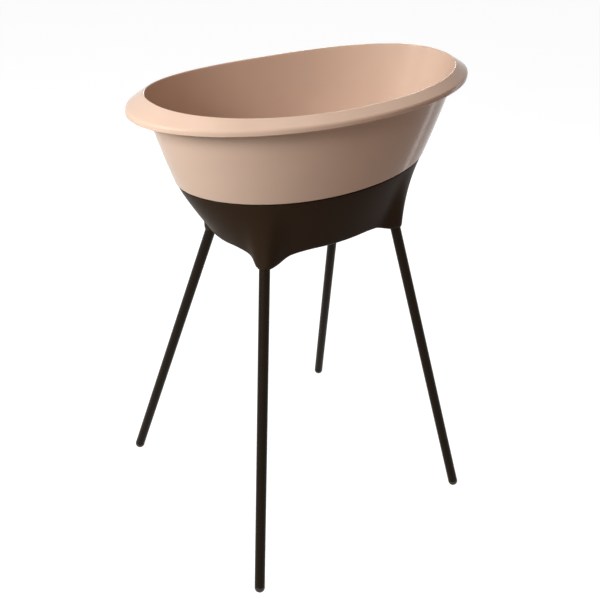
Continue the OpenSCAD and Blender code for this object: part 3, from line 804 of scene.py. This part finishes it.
class MakeCradle(bpy.types.Operator):
    """Make the moulded cradle with its leg sockets"""

    bl_idname = "bath_stand.make_cradle"
    bl_label = "Cradle"

    SCREW_BORE = 3.2 * MM
    # Width of a seat's edge round its pad
    SEAT_EDGE = 1.5 * MM
    # How far the turned solids that are added and cut away run past the socket's mouth and its ceiling
    ADD_BELOW, ADD_ABOVE, CUT_BELOW, CUT_ABOVE = 1 * MM, 5 * MM, 40 * MM, 10 * MM

    def execute(self, context):
        scene = context.scene
        legs, finish = scene.legs, scene.finishes
        form = CradleForm(scene.bath, scene.cradle, legs, scene.drain)
        shell = mesh_of("cradle_shell", form.rings(scene.cradle.columns), closed=True)
        look = {"grain": 0.00005, "tone": 0.06, "specular": 0.03, "sheen": WARM_SHEEN}
        espresso = moulded_plastic("espresso plastic", finish.espresso, finish.espresso_gloss, **look)
        sockets, bores = [], []
        bore, screw = legs.diameter / 2 + PLAY, self.SCREW_BORE
        for side in SIDES.values():
            axis = leg_axis(legs, side, form.socket_z)
            mouth = form.socket_z / axis.along[2]
            ceiling = mouth + legs.depth + PLAY
            low, high = mouth - self.ADD_BELOW, ceiling + self.ADD_ABOVE
            sockets.append(rod(axis, [(form.socket_r, low), (form.socket_r, high)]))
            low, high = mouth - self.CUT_BELOW, ceiling + self.CUT_ABOVE
            bores.append(rod(axis, [(bore, low), (bore, ceiling), (screw, ceiling), (screw, high)]))
        mesh = joined("cradle_surface", [cut(shell, sockets, bores), *self.floor_parts(form, scene)])
        piece("cradle_surface", mesh, espresso, "stand", "espresso_plastic", "cradle")
        dress(espresso, *["leg_insert_" + side for side in SIDES])
        return {"FINISHED"}

    def floor_parts(self, form, scene):
        """Seats for the pads, ribs from seat to seat and a collar round the drain's way."""
        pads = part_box("seat_pads")
        pad_x = (pads[1].x - pads[0].x) / 2 - PAD_RADIUS
        pad_y = (pads[1].y - pads[0].y) / 2 - PAD_RADIUS
        rib = scene.cradle.rib_width
        rib_z = form.bed_z + scene.cradle.rib_height
        way = scene.drain.way / 2
        middle = (scene.drain.place, 0)
        seat = PAD_RADIUS + self.SEAT_EDGE
        seats = [circle_plan((x * pad_x, y * pad_y), seat) for x, y in SIDES.values()]
        ribs = [strip_plan((-pad_x, y), (pad_x, y), rib) for y in (-pad_y, pad_y)]
        ribs += [strip_plan((x, -pad_y), (x, pad_y), rib) for x in (-pad_x, pad_x)]
        return [
            *[block(form, plan, form.seat_z) for plan in seats],
            *[block(form, plan, rib_z) for plan in ribs],
            collar(form, circle_plan(middle, way), circle_plan(middle, way + rib), form.seat_z),
        ]


# ---- legs, feet and fastenings


class MakeLegs(bpy.types.Operator):
    """Make the leg tubes and their round feet"""

    bl_idname = "bath_stand.make_legs"
    bl_label = "Legs and feet"

    # The foot's collar, its stem up to the taper and to its end, and the taper
    COLLAR, STEM, STEM_END, TAPER = 3 * MM, 20 * MM, 23 * MM, 1.5 * MM
    # The tube's chamfer, and its distance from the end of the socket
    CHAMFER, HEADROOM = 0.3 * MM, 2.1 * MM

    def execute(self, context):
        scene = context.scene
        legs, finish = scene.legs, scene.finishes
        socket_z = CradleForm(scene.bath, scene.cradle, legs, scene.drain).socket_z
        paint = powder_coat("espresso powder coat", finish.paint, finish.paint_gloss)
        foot_rubber = rubber("foot rubber", finish.rubber)
        radius = legs.diameter / 2
        bore = radius - legs.wall
        for name, side in SIDES.items():
            axis = leg_axis(legs, side, socket_z)
            centre = (radius - legs.foot_flat) / axis.along[2]
            collar = centre + self.COLLAR
            low = collar + PLAY
            high = socket_z / axis.along[2] + legs.depth - self.HEADROOM
            edge = self.CHAMFER
            tube = [
                (bore, low + edge), (bore + edge, low), (radius - edge, low), (radius, low + edge),
                (radius, low + 2 * edge), (radius, high - 2 * edge),
                (radius, high - edge), (radius - edge, high), (bore + edge, high), (bore, high - edge),
            ]
            mesh = mesh_of("leg_tube_" + name, axis.rings(tube), closed=True, sharp=SHARP)
            piece("leg_tube_" + name, mesh, paint, "stand", "espresso_paint", "leg_" + name)
            foot = self.foot_mesh("foot_" + name, axis, centre, collar, radius, bore - PLAY)
            piece("foot_" + name, foot, foot_rubber, "stand", "foot_rubber", "foot_cap_" + name)
        return {"FINISHED"}

    def foot_mesh(self, name, axis, centre, collar, radius, stem):
        """A round foot: a quarter circle turned about the leg, flattened where it would pass the floor, its collar
        and the stem that goes up the tube."""
        turn = np.radians(np.linspace(4, 90, 22))
        dome = np.stack([radius * np.sin(turn), centre - radius * np.cos(turn)], axis=-1)
        taper, top = collar + self.STEM, collar + self.STEM_END
        corners = [(radius, centre), (radius, collar), (stem, collar), (stem, taper), (stem - self.TAPER, top)]
        rings = axis.rings(np.concatenate([dome, turned_profile(corners, 0.5 * MM)[1:]]))
        poles = np.stack([axis.place(centre - radius), axis.place(top)])
        for points in (rings, poles):
            points[..., 2] = np.maximum(points[..., 2], 0.0)
        return mesh_of(name, rings, poles=poles, sharp=SHARP)


class DressFastenings(bpy.types.Operator):
    """Give the bushes, washers, screws and seat pads their finishes"""

    bl_idname = "bath_stand.dress_fastenings"
    bl_label = "Fastenings and pads"

    def execute(self, context):
        dress(plated_metal("brass", BRASS, 0.28), "leg_bushes")
        dress(plated_metal("zinc-plated steel", ZINC, 0.32), "leg_washers", "leg_screws")
        dress(rubber("pad rubber", SOFT_BLACK), "seat_pads")
        return {"FINISHED"}


# ---- drain


class MakeDrain(bpy.types.Operator):
    """Make the stopper and give the drain fittings their finishes"""

    bl_idname = "bath_stand.make_drain"
    bl_label = "Drain and plug"

    def execute(self, context):
        scene = context.scene
        pale = moulded_plastic("pale plastic", scene.finishes.pale, 0.38, tone=0.02)
        low, high = PLUG_LOW.z, PLUG_HIGH.z
        axis = Axis((scene.drain.place, 0, low), (0, 0, 1))
        cap = (PLUG_HIGH.x - PLUG_LOW.x) / 2
        neck, foot, knob = 12 * MM, 7 * MM, 7 * MM
        top = high - low
        # Up the neck, out to the cap, in to the knob's waist and up over the knob, as (radius, height)
        profile = turned_profile(
            [
                (1 * MM, 0), (neck, 0), (neck, foot - 1 * MM), (neck + 3 * MM, foot), (cap, foot),
                (cap, foot + 1.2 * MM), (cap - 3 * MM, foot + 3 * MM), (knob + 3 * MM, foot + 4 * MM),
                (knob - 2.5 * MM, foot + 6 * MM), (knob - 2.5 * MM, foot + 9 * MM), (knob, foot + 11 * MM),
                (knob, top - 2 * MM), (knob - 2 * MM, top), (1 * MM, top),
            ],
            1.2 * MM,
        )
        plug = mesh_of("plug_surface", axis.rings(profile), poles=[axis.place(0), axis.place(top)], sharp=SHARP)
        piece("plug_surface", plug, pale, "plug", "pale_plastic", "drain_plug")
        dress(pale, "drain_body", "drain_nut")
        dress(rubber("washer rubber", SOFT_BLACK), "drain_washer")
        dress(silicone("milky silicone", MILKY), "plug_seal")
        return {"FINISHED"}


# ---- camera, lamps and floor


def away(azimuth, elevation):
    """The direction from the bath towards an azimuth and an elevation. Azimuth 0 is in front, and 90 at the right."""
    level = math.cos(elevation)
    return Vector((math.sin(azimuth) * level, -math.cos(azimuth) * level, math.sin(elevation)))


class MakeStage(bpy.types.Operator):
    """Make the camera, the soft lamps, the white surround and the floor"""

    bl_idname = "bath_stand.make_stage"
    bl_label = "Stage"

    # Width of the camera's sensor in millimetres
    SENSOR = 36.0
    # What the square lamps look at, their distance from it and their width
    TARGET = Vector((0, 0, 0.80))
    DISTANCE = 2.6
    SIZE = 0.9
    # Name, azimuth and elevation in degrees, watts, colour
    LAMPS = [
        ("left end lamp", -85, 30, 33, (0.95, 0.98, 1.00)),
        ("left front lamp", -70, 30, 30, (0.96, 0.99, 1.00)),
        ("left low lamp", -70, 5, 8, (1.00, 0.95, 0.90)),
        ("left high lamp", -80, 72, 7, (0.96, 0.98, 1.00)),
        ("left back lamp", -120, 10, 4, (1.00, 0.90, 0.80)),
        ("front lamp", -35, 50, 5, (1.00, 0.60, 0.38)),
        ("right back lamp", 140, 10, 22, (1.00, 0.92, 0.86)),
        ("right side lamp", 120, 50, 2, (1.00, 0.70, 0.50)),
        ("right high lamp", 100, 72, 6, (0.96, 0.98, 1.00)),
        ("right front lamp", 35, 5, 5, (1.00, 0.46, 0.20)),
    ]
    # A tall narrow lamp that stands on the floor at the right end, and shows as a stripe in the bath's wall
    STRIP_AZIMUTH, STRIP_DISTANCE, STRIP_POWER = 84, 1.2, 0.6
    STRIP_WIDTH, STRIP_HEIGHT, STRIP_MIDDLE = 0.12, 1.26, 0.66
    # The floor's half width, its own light where it is seen, and the two tones of its colour
    FLOOR_HALF = 6.0
    FLOOR_GLOW = 0.95
    FLOOR_TONES = ((0.30, 0.30, 0.30), (0.32, 0.32, 0.32))

    def execute(self, context):
        scene = context.scene
        studio = scene.studio
        self.camera(scene, studio)
        for name, azimuth, elevation, power, colour in self.LAMPS:
            back = away(math.radians(azimuth), math.radians(elevation))
            place = self.TARGET + back * self.DISTANCE
            self.lamp(name, place, back, self.SIZE, self.SIZE, power * studio.light, colour)
        back = away(math.radians(self.STRIP_AZIMUTH), 0)
        place = Vector((0, 0, self.STRIP_MIDDLE)) + back * self.STRIP_DISTANCE
        power = self.STRIP_POWER * studio.light
        self.lamp("right strip", place, back, self.STRIP_WIDTH, self.STRIP_HEIGHT, power, WHITE)
        self.surround(scene, studio)
        self.floor()
        scene.view_settings.view_transform = "Standard"
        return {"FINISHED"}

    def camera(self, scene, studio):
        """Turns the camera by azimuth about the vertical, then by pitch, then by roll about its own axis."""
        turn, roll = studio.azimuth, studio.roll
        back = away(turn, studio.pitch)
        level = Vector((math.cos(turn), math.sin(turn), 0))
        upright = back.cross(level)
        right = level * math.cos(roll) + upright * math.sin(roll)
        up = upright * math.cos(roll) - level * math.sin(roll)
        data = bpy.data.cameras.new("camera")
        data.lens = studio.lens
        data.sensor_width = self.SENSOR
        scene.camera = placed("camera", data)
        place = Matrix.Translation((studio.camera_x, studio.camera_y, studio.camera_z))
        scene.camera.matrix_world = place @ Matrix((right, up, back)).transposed().to_4x4()

    @staticmethod
    def lamp(name, place, back, width, height, power, colour):
        """A soft lamp that shines away from its back. Its light shows, but the lamp itself is not seen."""
        data = bpy.data.lights.new(name, "AREA")
        data.shape = "RECTANGLE"
        data.size = width
        data.size_y = height
        data.energy = power
        data.color = colour
        lamp = placed(name, data)
        lamp.location = place
        lamp.rotation_mode = "QUATERNION"
        lamp.rotation_quaternion = (-back).to_track_quat("-Z", "Y")
        lamp.visible_camera = False

    @staticmethod
    def surround(scene, studio):
        """White where it is seen, and a low even light on everything else."""
        world = bpy.data.worlds.new("surround")
        world.use_nodes = True
        scene.world = world
        nodes = Nodes(world.node_tree)
        background = nodes.tree.nodes["Background"]
        nodes.join(WHITE, background.inputs["Color"])
        nodes.join(nodes.between(nodes.seen(), studio.fill, 1.0, 0.0, 1.0), background.inputs["Strength"])

    def floor(self):
        """A wide grey floor, white where it is seen but for the soft shadow that it keeps."""
        half = self.FLOOR_HALF
        mesh = bpy.data.meshes.new("floor")
        mesh.from_pydata([(-half, -half, 0), (half, -half, 0), (half, half, 0), (-half, half, 0)], [], [(0, 1, 2, 3)])
        finish = Finish("floor")
        finish.feed("Roughness", 0.9)
        finish.feed("Specular IOR Level", 0.0)
        finish.feed("Base Color", finish.blend(finish.between(finish.noise(2, 2)), *self.FLOOR_TONES))
        glow = finish.node("ShaderNodeEmission")
        strength = finish.combine("MULTIPLY", finish.seen(), self.FLOOR_GLOW)
        finish.join(strength, glow.inputs["Strength"])
        both = finish.node("ShaderNodeAddShader")
        finish.join(finish.shader.outputs["BSDF"], both.inputs[0])
        finish.join(glow.outputs["Emission"], both.inputs[1])
        finish.join(both.outputs["Shader"], finish.tree.nodes["Material Output"].inputs["Surface"])
        mesh.materials.append(finish.material)
        placed("floor", mesh)


# ---- panel and registration


class BathStandPanel(bpy.types.Panel):
    """Lists the sizes and the steps that make the bath stand"""

    bl_label = "Baby bath stand"
    bl_idname = "VIEW3D_PT_bath_stand"
    bl_space_type = "VIEW_3D"
    bl_region_type = "UI"
    bl_category = "Bath stand"

    def draw(self, context):
        for step in STEPS:
            self.layout.operator(step.bl_idname)
        for group in GROUPS:
            box = self.layout.box()
            settings = getattr(context.scene, group)
            for key in settings.__annotations__:
                box.prop(settings, key)


GROUPS = {
    "bath": BathSizes, "cradle": CradleSizes, "legs": LegSizes,
    "drain": DrainSizes, "finishes": Finishes, "studio": Studio,
}
STEPS = [MakeStage, MakeBath, MakeCradle, MakeLegs, DressFastenings, MakeDrain]


def register():
    for cls in [*GROUPS.values(), *STEPS, BathStandPanel]:
        bpy.utils.register_class(cls)
    for name, cls in GROUPS.items():
        setattr(bpy.types.Scene, name, PointerProperty(type=cls))


def unregister():
    for name in GROUPS:
        delattr(bpy.types.Scene, name)
    for cls in [BathStandPanel, *reversed(STEPS), *reversed(list(GROUPS.values()))]:
        bpy.utils.unregister_class(cls)


def main():
    register()
    for step in STEPS:
        group, name = step.bl_idname.split(".")
        getattr(getattr(bpy.ops, group), name)()


if __name__ == "__main__":
    main()
